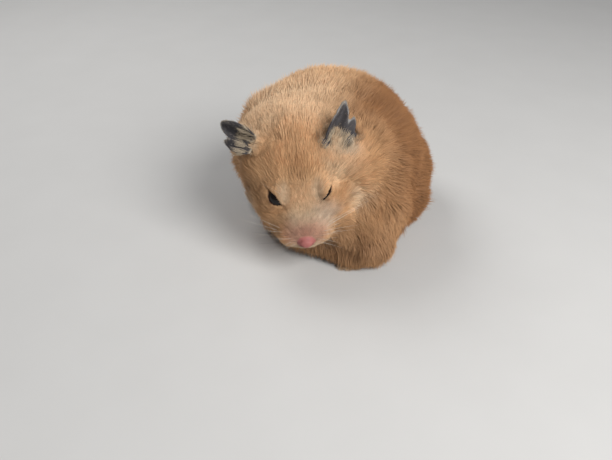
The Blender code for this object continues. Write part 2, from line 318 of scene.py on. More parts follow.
def ear_seat(side_name, side):
    """From an ear's own millimetres (height along z) to the head's."""
    root, (back, outward, twist) = EARS[side_name]
    seat = Matrix.Translation(Vector((side * root.x, root.y, root.z)))
    turns = turned((0, side * outward, 0)) @ turned((-back, 0, 0)) @ turned((0, 0, side * twist))
    return seat @ turns @ Matrix.Diagonal((side, 1, 1, 1))


def ear_top(across):
    """Height of the ear's edge at a place across it, from -1 at its rear to 1 at its front."""
    rear = 0.33 + 0.67 * np.maximum(0.0, 1.0 - ((across + 0.35) / 0.86) ** 2)
    front = 0.33 + 0.42 * np.maximum(0.0, 1.0 - ((across - 0.62) / 0.54) ** 2)
    return EAR_LENGTH * np.maximum(rear, front)


def ear_spread(along):
    """Width of the leaf at a share of its height."""
    return EAR_ROOT + (EAR_WIDTH - EAR_ROOT) * np.sin(0.5 * math.pi * np.minimum(1.0, 1.5 * along))


def in_ear(points, side_name, side):
    """Ear millimetres of row-frame points, and their share of the way across and up the leaf."""
    matrix = np.array((HEAD @ ear_seat(side_name, side)).inverted())
    local = points @ matrix[:3, :3].T + matrix[:3, 3]
    along = np.clip(local[:, 2] / (0.7 * EAR_LENGTH), 0.0, 1.0)
    for _ in range(3):
        across = np.clip(local[:, 0] / (0.5 * ear_spread(along)), -1.0, 1.0)
        along = np.clip(local[:, 2] / ear_top(across), 0.0, 1.0)
    return local, across, along


def ear_leaf(side_name, side, columns=64, rows=44):
    """A thin leaf with a pointed rear lobe and a round front lobe, pleated down its length."""
    bm = bmesh.new()
    grid = []
    for column in range(columns + 1):
        across = 2.0 * column / columns - 1.0
        height = float(ear_top(across))
        line = []
        for row in range(rows + 1):
            along = row / rows
            spread = float(ear_spread(along))
            pleat = 1.5 * along * math.cos(2.0 * math.pi * (across + 0.35) / 1.2)
            ridge = 0.12 * along * math.cos(9.0 * math.pi * across)
            cup = 1.8 * along * along - 3.0 * across * across
            line.append(bm.verts.new((0.5 * spread * across, cup + pleat + ridge, height * along)))
        grid.append(line)
    for left, right in zip(grid, grid[1:]):
        for row in range(rows):
            bm.faces.new((left[row], right[row], right[row + 1], left[row + 1]))
    leaf = evaluated(mesh_from(bm, "leaf"), ("SOLIDIFY", {"thickness": EAR_THICK, "offset": 0.0}))
    leaf.transform(HEAD @ ear_seat(side_name, side))
    bm = bmesh.new()
    bm.from_mesh(leaf)
    bmesh.ops.recalc_face_normals(bm, faces=bm.faces[:])
    return mesh_from(bm, "leaf")


def labelled_tree(leaves):
    """Nearest-point search over the flesh, and the kind of flesh at each point."""
    spots, kinds = [], []
    parts = [(node.split("_")[0], points_of(frame["nodes"][node].data)) for node in FLESH]
    parts += [("ear", points_of(leaf)[::3]) for leaf in leaves]
    for kind, points in parts:
        spots.extend(points)
        kinds.extend([kind] * len(points))
    tree = KDTree(len(spots))
    for index, spot in enumerate(spots):
        tree.insert(spot, index)
    tree.balance()
    return tree, np.array(kinds)


def kinds_at(points, search):
    tree, kinds = search
    nearest = [tree.find(point)[1] for point in points.tolist()]
    return kinds[np.array(nearest)]


def coat_depth(points, normals, kinds):
    """How far under the tips of the coat the skin lies, in metres."""
    depth = np.array([COAT_DEPTH[kind] for kind in kinds])
    local = in_head(points)
    from_nose = distance(local, NOSE_AT)
    on_head = np.isin(kinds, ("head", "neck"))
    muzzle = 0.25 + 0.085 * from_nose
    depth = np.where(on_head, np.minimum(depth, muzzle), depth)
    for _, side in SIDES:
        near = distance(local, eye_middle(side))
        depth = np.where(on_head, np.minimum(depth, 0.9 + 1.0 * ramp(near, 4.5, 8.5)), depth)
    underside = ramp(normals[:, 2], -0.3, -0.8) * ramp(points[:, 2], 12 * MM, 6 * MM)
    return depth * (1.0 - 0.6 * underside) * MM


def lid_frame(side_name, side):
    """Centre of an eye in head millimetres, with the directions along, above and out of the gap."""
    flip = Vector((side, 1.0, 1.0))
    centre = np.array(EYE_AT * flip)
    outward = (LIDS[side_name][0] * flip).normalized()
    along = SLIT_AXIS * flip
    along = (along - outward * along.dot(outward)).normalized()
    above = side * outward.cross(along)
    return centre, np.array(along), np.array(above), np.array(outward)


def lid_gap(local, side_name, side):
    """Distance (mm) outside the gap between the lids, and how squarely the eye faces the point."""
    centre, along, above, outward = lid_frame(side_name, side)
    _, long, upper, lower = LIDS[side_name]
    rays = unit(local - centre)
    half = math.sin(math.radians(long))
    reach = (rays @ along) / half
    height = rays @ above
    lid = np.where(height > 0.0, math.sin(math.radians(upper)), math.sin(math.radians(lower)))
    lid = lid * np.clip(1.0 - reach * reach, 0.0, 1.0) ** 0.7
    beyond = np.maximum(np.abs(reach) - 1.0, 0.0) * half
    outside = np.hypot(np.maximum(np.abs(height) - lid, 0.0), beyond)
    signed = np.where(outside > 0.0, outside, np.minimum(np.abs(height) - lid, 0.0))
    return signed * EYE_RADIUS, rays @ outward, rays


def with_lids(local, side_name, side):
    """Head points pushed out over the eyeball as lids and sunk behind it in the gap."""
    centre, *_ = lid_frame(side_name, side)
    offset = local - centre
    radius = np.linalg.norm(offset, axis=1)
    signed, facing, rays = lid_gap(local, side_name, side)
    near = (radius < 7.5) & (facing > 0.0)
    lid = EYE_RADIUS + LID_THICK + 0.06 * np.exp(-((signed - 0.35) / 0.25) ** 2)
    raised = lid + 0.5 * (radius - lid + np.sqrt((radius - lid) ** 2 + 0.1))
    raised = np.where(radius > lid + 2.5, radius, raised)
    sunk = EYE_RADIUS - 0.9
    shape = np.where(signed < 0.0, sunk, raised)
    shape = np.where((signed >= 0.0) & (signed < 0.22), lid - 0.10, shape)
    fade = ramp(radius, 7.5, 6.0)
    target = radius + (shape - radius) * fade
    moved = centre + rays * target[:, None]
    return np.where(near[:, None], moved, local)


def nostrils(local):
    """1 in the two slits of the nose, which rise towards their outer ends."""
    inside = np.zeros(len(local))
    place, front, height = NOSTRIL_AT
    for side in (1.0, -1.0):
        out = side * local[:, 0] - place
        up = local[:, 2] - height
        reach = np.stack([(0.9 * out + 0.45 * up) / 0.85, (0.9 * up - 0.45 * out) / 0.42,
                          (local[:, 1] - front) / 1.8], 1)
        inside = np.maximum(inside, ramp(np.linalg.norm(reach, axis=1), 1.2, 0.6))
    return inside


def mouth_cleft(local):
    """1 along the split of the upper lip and the line of the mouth under the muzzle."""
    across, height = np.abs(local[:, 0]), local[:, 2]
    split = np.exp(-(local[:, 0] / LINE_WIDTH) ** 2) * ramp(height, -6.3, -6.9) * ramp(height, -10.9, -10.3)
    line = MOUTH_HEIGHT - 0.09 * across - 0.012 * across * across
    mouth = np.exp(-((height - line) / LINE_WIDTH) ** 2) * ramp(across, 7.5, 6.0)
    return np.maximum(split, mouth) * ramp(local[:, 1], -18.0, -20.0)


def with_nose(local):
    """Head points with the nostrils, the split lip and the mouth pressed in."""
    local = local.copy()
    local[:, 1] += NOSTRIL_DEPTH * nostrils(local) + MOUTH_DEPTH * mouth_cleft(local)
    return local


def refined(mesh, spots):
    """The mesh with its faces split once within reach (mm) of each spot in the head."""
    bm = bmesh.new()
    bm.from_mesh(mesh)
    local = in_head(np.array([vert.co for vert in bm.verts]))
    close = np.zeros(len(local), bool)
    for spot, reach in spots:
        close |= distance(local, spot) < reach
    edges = [edge for edge in bm.edges if close[edge.verts[0].index] and close[edge.verts[1].index]]
    bmesh.ops.subdivide_edges(bm, edges=edges, cuts=1, use_grid_fill=True)
    bmesh.ops.triangulate(bm, faces=bm.faces[:])
    return mesh_from(bm, mesh.name)


def skin_shape():
    """The bare animal under its coat, and the search that tells its parts apart."""
    leaves = [ear_leaf(side_name, side) for side_name, side in SIDES]
    search = labelled_tree(leaves)
    bm = bmesh.new()
    for node in FLESH:
        swollen(bm, node, 0.2 * MM)
    for node in EYE_NODES:
        swollen(bm, node, 0.4 * MM)
    for leaf in leaves:
        bm.from_mesh(leaf)
    skin = evaluated(mesh_from(bm, "skin"), ("REMESH", {"mode": "VOXEL", "voxel_size": VOXEL}))

    edges = edges_of(skin)
    points = points_of(skin)
    kinds = kinds_at(points, search)
    fine = np.isin(kinds, ("ear", "nose", "forepaw", "hindfoot")).astype(float)
    fine = evened(fine, edges, 6)[:, None]
    smooth = evened(points, edges, SHAPE_ROUNDS)
    light = evened(points, edges, FINE_ROUNDS)
    points = light * fine + smooth * (1.0 - fine)
    set_points(skin, points)

    normals = evened(normals_of(skin), edges, 12)
    depth = evened(coat_depth(points, unit(normals), kinds), edges, DEPTH_ROUNDS)
    depth = np.where(np.isin(kinds, ("nose", "ear")), 0.0, depth)
    depth = evened(depth, edges, 6)
    set_points(skin, points - unit(normals) * depth[:, None])

    share = min(1.0, SKIN_TRIANGLES / (2.0 * len(skin.polygons)))
    skin = evaluated(skin, ("TRIANGULATE", {}), ("DECIMATE", {"ratio": share}))
    lips = np.array((0.0, -24.0, -8.0))
    for eye_reach, lip_reach in FINER:
        spots = [(eye_middle(side), eye_reach) for _, side in SIDES]
        skin = refined(skin, spots + [(lips, lip_reach)])
    local = in_head(points_of(skin))
    for side_name, side in SIDES:
        local = with_lids(local, side_name, side)
    local = with_nose(local)
    matrix = np.array(HEAD)
    set_points(skin, local @ matrix[:3, :3].T + matrix[:3, 3])
    skin.shade_smooth()
    return skin, search


def unwrapped(mesh):
    """Give the skin a map of its own shape, named OFBake."""
    thing = linked("unwrap", mesh)
    mesh.uv_layers.new(name="OFBake")
    bpy.context.view_layer.objects.active = thing
    thing.select_set(True)
    bpy.ops.object.mode_set(mode="EDIT")
    bpy.ops.mesh.select_all(action="SELECT")
    bpy.ops.uv.smart_project(angle_limit=math.radians(66), island_margin=0.002)
    bpy.ops.object.mode_set(mode="OBJECT")
    bpy.data.objects.remove(thing)


# Coat: what each point of the skin knows ------------------------

PALE = linear(236, 200, 160)
HONEY = linear(228, 180, 132)
GOLD = linear(214, 167, 121)
ORANGE = linear(134, 89, 54)
# painted shade: a darker tone laid on the right cheek, the right of the muzzle, under the jaw and on the
# chest
PAINTED_SHADE_BROWN = linear(134, 96, 66)
CREAM = linear(214, 190, 160)
WHITE = linear(224, 212, 196)
PINK = linear(190, 122, 108)
FLESH_PINK = linear(222, 170, 156)
SLATE = linear(71, 68, 70)
ASH = linear(110, 107, 108)
EAR_RIM = linear(150, 148, 146)
LID_RIM = linear(120, 88, 74)
LIP = linear(128, 76, 68)
NOSTRIL = linear(70, 36, 34)
LID_INSIDE = linear(36, 24, 20)
EAR_HAIR = linear(198, 180, 154)
NOSE_PINK = linear(170, 104, 98)


# Markings of the head: colour, share, middle, half sizes, softness, and whether the head's coat bounds it
HEAD_MARKS = ((ORANGE, 0.42, (0, -7, 8), (3.0, 8, 6), 0.8, True),
              (PALE, 0.55, (0, -17, 2), (4.5, 8, 7), 0.5, True),
              # painted shade: the right cheek darker
              (PAINTED_SHADE_BROWN, 0.50, (-15, -6, 1), (7, 15, 12), 0.7, True),
              # a pale patch before the left ear, kept to this side and brightened as painted light
              (PALE, 0.90, (13.5, -3.5, 7.5), (6, 7, 6), 0.6, False),
              # painted light: the left of the muzzle whiter
              (WHITE, 0.55, (7.0, -18.0, -1.0), (4.5, 6, 5), 0.6, True),
              # painted shade: the right of the muzzle darker
              (PAINTED_SHADE_BROWN, 0.40, (-7, -19, -4), (4, 6, 5), 0.7, True))
# Markings found on both sides, given for the left one
PAIRED_MARKS = ((CREAM, 0.70, (5.4, -11.5, 5.5), (2.0, 3.5, 4), 0.6),
                # painted shade under the jaw, on both sides
                (PAINTED_SHADE_BROWN, 0.55, (14.0, -22.0, -10.0), (7, 5, 5), 0.5),
                (CREAM, 0.65, (18.5, -10.5, -4.5), (6, 5, 3.5), 0.6),
                (WHITE, 0.50, (17.8, 0.3, 10.0), (4.0, 2.0, 3), 0.5),
                (PINK, 0.50, (2.6, -22.5, -3.2), (3.8, 3.5, 3.2), 0.5))


def fur_colour(points, normals, kinds):
    """The colour of the coat at each point, on every side of the animal."""
    local = in_head(points)
    mm = points / MM
    colour = np.tile(GOLD, (len(points), 1))
    # the body: pale along the back, deepening to orange down the flanks and towards the rump; the left flank
    # deepens from beside the spine as painted shade, and the pale band lies right of the spine as painted
    # light
    left = ramp(mm[:, 0], -5.0, 15.0)
    right = ramp(mm[:, 0], -24.0, -38.0) * ramp(mm[:, 2], 46.0, 34.0)
    flank_orange_and_painted_shade = np.maximum(left, right) * ramp(mm[:, 1], -35.0, -14.0)
    pale_back_and_painted_light = ramp(mm[:, 2], 36.0, 50.0) * (1.0 - left) * (0.45 + 0.55 * ramp(mm[:, 1], 2.0, -14.0))
    belly = ramp(normals[:, 2], -0.25, -0.75) * ramp(mm[:, 2], 22.0, 8.0)
    for tone, share in ((PALE, 0.9 * pale_back_and_painted_light), (ORANGE, 0.85 * flank_orange_and_painted_shade),
                        (ORANGE, 0.35 * ramp(mm[:, 1], 14.0, 40.0)), (CREAM, 0.85 * belly),
                        # painted shade on the left of the chest, below the chin
                        (PAINTED_SHADE_BROWN, 0.65 * patch(mm, (15, -37, 10), (24, 11, 15), 0.5))):
        colour = mixed(colour, tone, share)
    # the head: a brown crown, a pale bridge down to the nose, a pale muzzle and chin; the right cheek and the
    # right of the muzzle darker as painted shade, the left of the muzzle and, partly, the left temple paler
    # as painted light
    across, front, up = np.abs(local[:, 0]), local[:, 1], local[:, 2]
    on_head = ramp(front, 14.0, 4.0) * ramp(across, 30.0, 19.0) * np.isin(kinds, ("head", "neck", "nose"))
    colour = mixed(colour, HONEY, 0.85 * on_head)
    for tone, share, middle, sizes, soft, bounded in HEAD_MARKS:
        bound = on_head if bounded else 1.0
        colour = mixed(colour, tone, share * bound * patch(local, middle, sizes, soft))
    lower_lip = ramp(up, -6.0, -9.0) * ramp(front, -15.0, -19.0) * ramp(across, 9.0, 7.0)
    for share in (0.80 * on_head * ramp(front, -14.0, -19.0) * ramp(across, 6.5, 3.0),
                  0.60 * on_head * lower_lip,
                  0.70 * on_head * ramp(up, -10.5, -13.5) * ramp(across, 9.0, 5.0)):
        colour = mixed(colour, CREAM, share)
    for side in (1.0, -1.0):
        for tone, share, (out, back, height), sizes, soft in PAIRED_MARKS:
            colour = mixed(colour, tone, share * patch(local, (side * out, back, height), sizes, soft))
    # ears, feet and tail carry fine down; long pale hairs stand from the root of each ear
    for side_name, side in SIDES:
        ear = on_ear(local, kinds, side)
        _, _, along = in_ear(points, side_name, side)
        colour = mixed(colour, ASH, 0.95 * ear)
        colour = mixed(colour, EAR_HAIR, 0.9 * ear * ramp(along, 0.58, 0.40))
        colour = mixed(colour, EAR_HAIR, 0.8 * ear * ramp(along, 0.90, 0.97))
    return mixed(colour, CREAM, 0.8 * np.isin(kinds, ("forepaw", "hindfoot", "tail")))


def pressed(shape, local, depth):
    """A pressed-in shape's share at points that have already moved back into it."""
    share = np.zeros(len(local))
    for step in (0.0, 0.5, 1.0):
        before = local - np.array((0.0, step * depth, 0.0))
        share = np.maximum(share, shape(before) * (shape(before) >= step - 0.25))
    return share


def hide_colour(fur, points, kinds):
    """The colour of the skin itself: the coat's markings, and bare nose, ears, lids and feet."""
    local = in_head(points)
    colour = fur * 0.90
    for side_name, side in SIDES:
        ear = on_ear(local, kinds, side)
        spot, _, along = in_ear(points, side_name, side)
        colour = mixed(colour, SLATE, 0.96 * ear * ramp(spot[:, 2], 0.0, 1.2))
        colour = mixed(colour, EAR_RIM, 0.8 * ear * ramp(along, 0.93, 0.98))
    for tone, share in ((FLESH_PINK, 0.75 * np.isin(kinds, ("forepaw", "hindfoot", "tail"))),
                        (NOSE_PINK, patch(local, (0, -24.6, -5.3), (4.2, 3.2, 2.9), 0.25)),
                        (LIP, 0.85 * pressed(mouth_cleft, local, MOUTH_DEPTH)),
                        (NOSTRIL, 0.9 * pressed(nostrils, local, NOSTRIL_DEPTH))):
        colour = mixed(colour, tone, share)
    for side_name, side in SIDES:
        signed, facing, _ = lid_gap(local, side_name, side)
        near = (distance(local, eye_middle(side)) < 6.0) * (facing > 0.0)
        colour = mixed(colour, LID_RIM, 0.8 * (near * ramp(signed, 0.6, 0.2)))
        colour = mixed(colour, LID_INSIDE, near * ramp(signed, 0.14, 0.0))
    return colour


def coat_lie(points, normals, kinds):
    """Unit direction in which the hair lies, tangent to the skin."""
    local = in_head(points)
    flank = np.sign(points[:, 0])
    # body: from head to tail and down the flanks, spreading from the spine
    body = np.zeros_like(points)
    body[:, 1] = 1.0
    body[:, 2] = -0.75 * ramp(normals[:, 2], 0.95, 0.1)
    body[:, 0] = 0.18 * flank * ramp(np.abs(points[:, 0]), 1 * MM, 14 * MM)
    chest = ramp(points[:, 1], -24 * MM, -34 * MM) * ramp(points[:, 2], 34 * MM, 24 * MM)
    body = mixed(body, np.array((0.12, 0.10, -1.0)), chest)
    # head: away from the nose, over the brow and back along the cheeks
    head = local - np.array((0.0, -25.0, -5.0))
    head[:, 2] -= 0.35 * np.maximum(local[:, 1] + 4.0, 0.0) * ramp(np.abs(local[:, 0]), 6.0, 14.0)
    head = from_head(unit(head))
    on_head = np.isin(kinds, ("head", "nose")) * ramp(local[:, 1], 16.0, 6.0)
    lie = mixed(unit(body), head, on_head)
    # limbs, tail and ears
    for names, way, share in ((("foreleg",), unit(np.array((0.1, -0.25, -1.0))), 0.8),
                              (("hindleg",), unit(np.array((0.0, 0.75, -0.65))), 0.7),
                              (("forepaw", "hindfoot"), np.array((0.0, -1.0, -0.1)), 1.0),
                              (("tail",), np.array((0.0, 1.0, -0.2)), 1.0)):
        lie = mixed(lie, way, share * np.isin(kinds, names))
    for side_name, side in SIDES:
        upward = np.array((HEAD @ ear_seat(side_name, side)).to_3x3()) @ np.array((0.12, 0.0, 1.0)) / MM
        lie = mixed(lie, upward, on_ear(local, kinds, side))
    return lie


def tangent(vectors, normals):
    return unit(vectors - normals * np.sum(vectors * normals, axis=1, keepdims=True))


def coat_growth(points, normals, edges, kinds):
    """Length and crowd of the tufts: millimetres long, and tufts to the square millimetre."""
    local = in_head(points)
    long = evened(np.array([HAIR_LENGTH[kind] for kind in kinds]), edges, GROWTH_ROUNDS)
    many = np.array([HAIR_CROWD[kind] for kind in kinds])
    from_nose = distance(local, NOSE_AT)
    on_head = np.isin(kinds, ("head", "neck", "nose"))
    long = np.where(on_head, np.minimum(long, 1.1 + 0.155 * from_nose), long)
    many = np.where(on_head & (from_nose < 24.0), 22.0, many)
    for side_name, side in SIDES:
        apart = distance(local, EARS[side_name][0] * Vector((side, 1.0, 1.0)))
        long = np.minimum(long, 1.5 + 0.55 * np.maximum(apart - 5.0, 0.0))
    # the hem clears the floor, the root of the tail shows, and the belly is thin
    hem = np.isin(kinds, ("trunk", "foreleg", "hindleg"))
    long = np.where(hem, np.minimum(long, 2.6 + 0.42 * (points[:, 2] / MM)), long)
    dock = distance(points / MM, (1.2, 46.0, 8.5))
    long = np.minimum(long, 1.6 + 0.8 * np.maximum(dock - 3.5, 0.0))
    under = ramp(normals[:, 2], -0.35, -0.8)
    long *= 1.0 - 0.35 * under
    many *= 1.0 - 0.45 * under
    for side_name, side in SIDES:
        ear = on_ear(local, kinds, side)
        spot, across, along = in_ear(points, side_name, side)
        tall = 0.8 + 3.6 * ramp(spot[:, 2], 6.0, 2.5)
        streaks = ramp(np.cos(7.5 * math.pi * across + 0.8 * np.sin(5.0 * across)), 0.3, 0.8)
        thick = 0.7 + 1.6 * streaks * ramp(spot[:, 2], 6.5, 3.0) + 3.0 * ramp(along, 0.92, 0.97)
        long = np.where(ear, tall, long)
        many = np.where(ear, thick, many)
    # the turn of the head pushes the fur of the left cheek out into a ruff
    long = long + RUFF_LENGTH * patch(local, RUFF_AT, RUFF_SIZES, 0.6) * np.isin(kinds, ("head", "neck"))
    near_lips = within(local, (0.0, -24.5, -9.5), (6.0, 4.0, 2.2))
    long = np.minimum(long, 0.9 + 1.6 * np.maximum(near_lips - 0.5, 0.0))
    bare = ramp(within(local, *BARE_NOSE), 1.1, 0.9)
    bare = np.maximum(bare, 1.0 * (pressed(mouth_cleft, local, MOUTH_DEPTH) > 0.5))
    for side_name, side in SIDES:
        signed, facing, _ = lid_gap(local, side_name, side)
        on_lid = (distance(local, eye_middle(side)) < 6.5) & (facing > 0.0)
        long = np.where(on_lid, long * (0.30 + 0.70 * ramp(signed, 0.6, 4.0)), long)
        bare = np.where(on_lid & (signed < 0.22), 1.0, bare)
    return long, many * (1.0 - bare)


def coat_plots(points, kinds):
    """Which piece of the coat a point belongs to; a later rule overrules an earlier one."""
    out, back, _ = in_head(points).T
    x, y, z = (points / MM).T
    head = np.isin(kinds, ("head", "nose"))
    plot = np.full(len(points), "back_left", object)
    for name, where in (("back_right", x < -2.0), ("rump_left", y > 14.0),
                        ("rump_right", (y > 14.0) & (x < -2.0)), ("flank_left", z < 26.0),
                        ("flank_right", (z < 26.0) & (x < 0.0)), ("belly", z < 9.0),
                        ("legs", np.isin(kinds, ("foreleg", "hindleg"))),
                        ("breast", (y < -28.0) & (z < 30.0)), ("nape", np.isin(kinds, ("neck",))),
                        ("crown", head), ("cheek_left", head & (out > 6.0)),
                        ("cheek_right", head & (out < -6.0)), ("face", head & (back < -9.0)),
                        ("feet", np.isin(kinds, ("forepaw", "hindfoot", "tail"))),
                        ("ears", np.isin(kinds, ("ear",)))):
        plot[where] = name
    return plot


PLOTS = ("face", "crown", "cheek_left", "cheek_right", "nape", "breast", "back_left", "back_right",
         "rump_left", "rump_right", "flank_left", "flank_right", "belly", "legs", "feet", "ears")


def store(mesh, name, kind, values):
    layer = mesh.attributes.new(name, kind, "POINT")
    field, width = {"FLOAT_VECTOR": ("vector", np.float32), "FLOAT_COLOR": ("color", np.float32),
                    "INT": ("value", np.int32), "FLOAT": ("value", np.float32)}[kind]
    if kind == "FLOAT_COLOR":
        values = np.concatenate([values, np.ones((len(values), 1))], 1)
    layer.data.foreach_set(field, values.astype(width).ravel())


def grown_skin():
    """The skin with all that it knows of its coat stored at its points."""
    skin, search = skin_shape()
    points, normals, edges = points_of(skin), normals_of(skin), edges_of(skin)
    kinds = kinds_at(points, search)
    fur = evened(fur_colour(points, normals, kinds), edges, 10)
    lie = coat_lie(points, normals, kinds)
    for _ in range(3):
        lie = tangent(evened(lie, edges, LIE_ROUNDS), normals)
    long, many = coat_growth(points, normals, edges, kinds)
    ear = np.isin(kinds, ("ear", "nose"))
    long = np.where(ear, long, evened(long, edges, 8))
    many = np.maximum(many, 0.0)
    # locks: the lie swings and the length changes a little from lock to lock
    swing = 0.30 * mottle(points, 5.5 * MM, 1) + 0.22 * mottle(points, 2.4 * MM, 2)
    side = np.cross(normals, lie)
    lie = tangent(lie + side * swing[:, None], normals)
    long = long * (1.0 + 0.22 * mottle(points, 3.0 * MM, 3))
    streak = 0.5 + 0.5 * mottle(points, 2.0 * MM, 4)
    store(skin, "fur", "FLOAT_COLOR", fur)
    store(skin, "hide", "FLOAT_COLOR", hide_colour(fur, points, kinds))
    store(skin, "lie", "FLOAT_VECTOR", lie)
    store(skin, "long", "FLOAT", long * MM)
    store(skin, "crowd", "FLOAT", many / (MM * MM))
    store(skin, "streak", "FLOAT", streak)
    plot = coat_plots(points, kinds)
    store(skin, "plot", "INT", np.array([PLOTS.index(name) for name in plot]))
    return skin


# Tufts ------------------------

def tuft_mesh(kind):
    """A few flat blades from one root, lying along +Y; x in blade widths, y and z in lengths."""
    dice = np.random.default_rng(100 + kind)
    bm = bmesh.new()
    tip_layer = bm.verts.layers.float.new("tip")
    uv_layer = bm.loops.layers.uv.new("tuft")
    for blade in range(BLADES):
        side = blade - 0.5 * (BLADES - 1)
        root_x = 1.3 * side + dice.uniform(-0.3, 0.3)
        root_y = dice.uniform(-0.12, 0.12)
        reach = dice.uniform(0.8, 1.1)
        drift = 1.1 * side + dice.uniform(-1.4, 1.4)
        lift = dice.uniform(0.75, 1.2)
        roll = dice.uniform(-0.35, 0.35)
        rows = []
        for share, width in ((0.0, 1.0), (0.48, 0.86)):
            x = root_x + drift * share ** 1.5
            y = root_y + reach * share
            z = lift * math.sin(0.5 * math.pi * min(1.0, 1.1 * share)) - 0.08 * (1.0 - share)
            pair = [bm.verts.new((x - 0.5 * width, y, z - 0.1 * roll)),
                    bm.verts.new((x + 0.5 * width, y, z + 0.1 * roll))]
            for vert in pair:
                vert[tip_layer] = share
            rows.append(pair)
        tip = bm.verts.new((root_x + drift, root_y + reach, lift))
        tip[tip_layer] = 1.0
        low, high = rows
        faces = [bm.faces.new((low[0], low[1], high[1], high[0])), bm.faces.new((high[0], high[1], tip))]
        for face in faces:
            for loop in face.loops:
                loop[uv_layer].uv = (0.5 + 0.1 * loop.vert.co.x, 0.5 * (1.0 + loop.vert.co.y))
    return mesh_from(bm, "tuft_%d" % kind)


def tuft_collection():
    group = bpy.data.collections.new("tufts")
    for kind in range(TUFT_KINDS):
        group.objects.link(bpy.data.objects.new("tuft_%d" % kind, tuft_mesh(kind)))
    return group


class Tree:
    """A small way to write node trees: add a node with settings and inputs, link as it is added."""

    def __init__(self, tree):
        self.tree = tree

    def add(self, kind, settings=None, **inputs):
        node = self.tree.nodes.new(kind)
        for key, value in (settings or {}).items():
            setattr(node, key, value)
        for key, value in inputs.items():
            self.feed(node, key, value)
        return node

    def feed(self, node, key, value):
        name = key.replace("_", " ")
        socket = node.inputs[int(key[1:])] if key[1:].isdigit() else node.inputs[name]
        if isinstance(value, bpy.types.NodeSocket):
            self.tree.links.new(value, socket)
        else:
            socket.default_value = value

    def worked(self, kind, operation, values):
        inputs = {"i%d" % index: value for index, value in enumerate(values)}
        return self.add(kind, {"operation": operation}, **inputs).outputs[0]

    def math(self, operation, *values):
        return self.worked("ShaderNodeMath", operation, values)

    def vector(self, operation, *values):
        return self.worked("ShaderNodeVectorMath", operation, values)

    def link(self, out, into):
        self.tree.links.new(out, into)


def named(tree, name, data_type):
    node = tree.add("GeometryNodeInputNamedAttribute", {"data_type": data_type}, Name=name)
    return node.outputs["Attribute"]


def random_value(tree, low, high, seed, data_type="FLOAT"):
    node = tree.add("FunctionNodeRandomValue", {"data_type": data_type}, Seed=seed)
    ends = [s for s in node.inputs if s.enabled]
    ends[0].default_value, ends[1].default_value = low, high
    return [s for s in node.outputs if s.enabled][0]


def stored(tree, geometry, name, data_type, domain, value):
    node = tree.add("GeometryNodeStoreNamedAttribute", {"data_type": data_type, "domain": domain},
                    Geometry=geometry, Name=name, Value=value)
    return node.outputs["Geometry"]


def without(tree, geometry, *names):
    """The geometry with named attributes taken off."""
    for name in names:
        node = tree.add("GeometryNodeRemoveAttribute", Geometry=geometry, Name=name)
        geometry = node.outputs["Geometry"]
    return geometry


def node_group(name, inputs, output):
    """A Geometry Nodes tree with named inputs and one output, and the sockets it is given."""
    group = bpy.data.node_groups.new(name, "GeometryNodeTree")
    for label, kind in inputs:
        group.interface.new_socket(label, in_out="INPUT", socket_type="NodeSocket" + kind)
    group.interface.new_socket(output, in_out="OUTPUT", socket_type="NodeSocketGeometry")
    tree = Tree(group)
    return group, tree, tree.add("NodeGroupInput").outputs


def planted(tree, points, kinds, turn, scale, seed, spares):
    """One of the kinds on each point, with a shade of its own, as real mesh; and the pick of kinds."""
    source = tree.add("GeometryNodeCollectionInfo", {"transform_space": "ORIGINAL"},
                      Collection=kinds, Separate_Children=True, Reset_Children=True)
    pick = random_value(tree, 0, len(kinds.objects) - 1, seed, "INT")
    copies = tree.add("GeometryNodeInstanceOnPoints", Points=points, Instance=source.outputs[0],
                      Rotation=turn, Scale=scale, Pick_Instance=True, Instance_Index=pick)
    shade = random_value(tree, 0.0, 1.0, seed + 1)
    hair = stored(tree, copies.outputs[0], "shade", "FLOAT", "INSTANCE", shade)
    hair = without(tree, hair, *spares)
    return tree.add("GeometryNodeRealizeInstances", Geometry=hair).outputs[0], pick


def finished(tree, geometry, material, output):
    """Shade the geometry smooth, give it its material and hand it out."""
    real = tree.add("GeometryNodeSetShadeSmooth", Geometry=geometry).outputs[0]
    done = tree.add("GeometryNodeSetMaterial", Geometry=real, Material=material)
    tree.add("NodeGroupOutput", **{output: done.outputs[0]})


